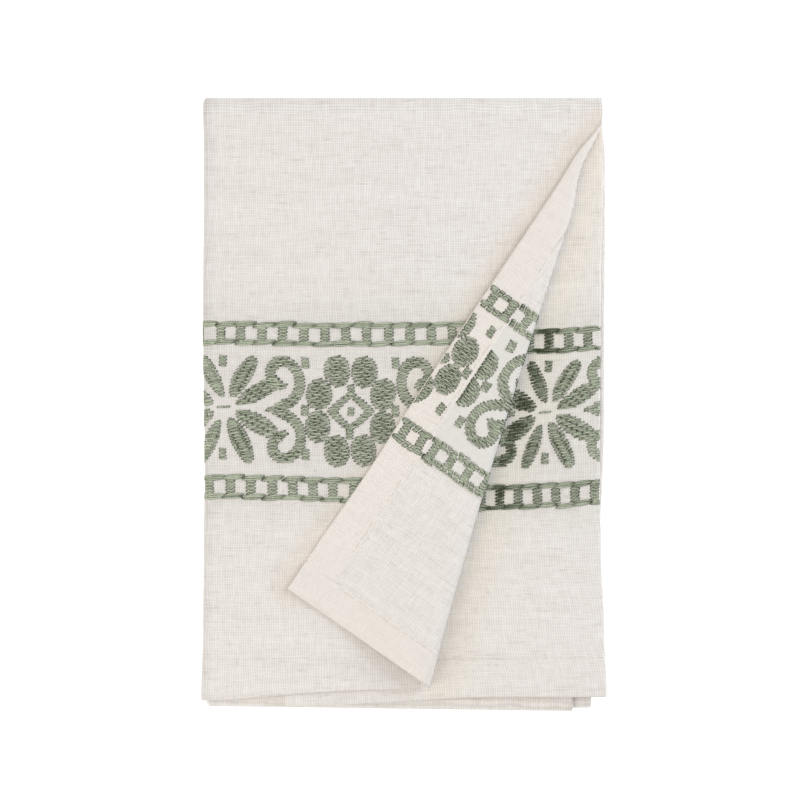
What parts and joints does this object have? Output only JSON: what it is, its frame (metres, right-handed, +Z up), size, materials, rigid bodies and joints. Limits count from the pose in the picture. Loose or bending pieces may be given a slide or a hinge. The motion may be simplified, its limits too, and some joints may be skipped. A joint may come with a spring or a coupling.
{
  "type": "tea towel",
  "caption": "Tea towel folded in thirds both ways, with its top corner turned over and a band of floral embroidery near one end.",
  "frame": {"origin": "middle of the folded towel's outline, on the surface it lies on", "axes": "+Z up, +Y along the folded length towards the closed top fold, +X across it towards the side with the turned corner's crease"},
  "size_m": [0.1616, 0.245, 0.019],
  "materials": {
    "cloth": "plain weave cotton and linen slub cloth, natural cream",
    "embroidery": "sage green embroidery thread, soft sheen",
    "backing": "thin white soft stabiliser behind the embroidery",
    "hem_stitching": "cream sewing thread"
  },
  "bodies": {
    "root": {"towel": "cloth"}
  },
  "joints": []
}
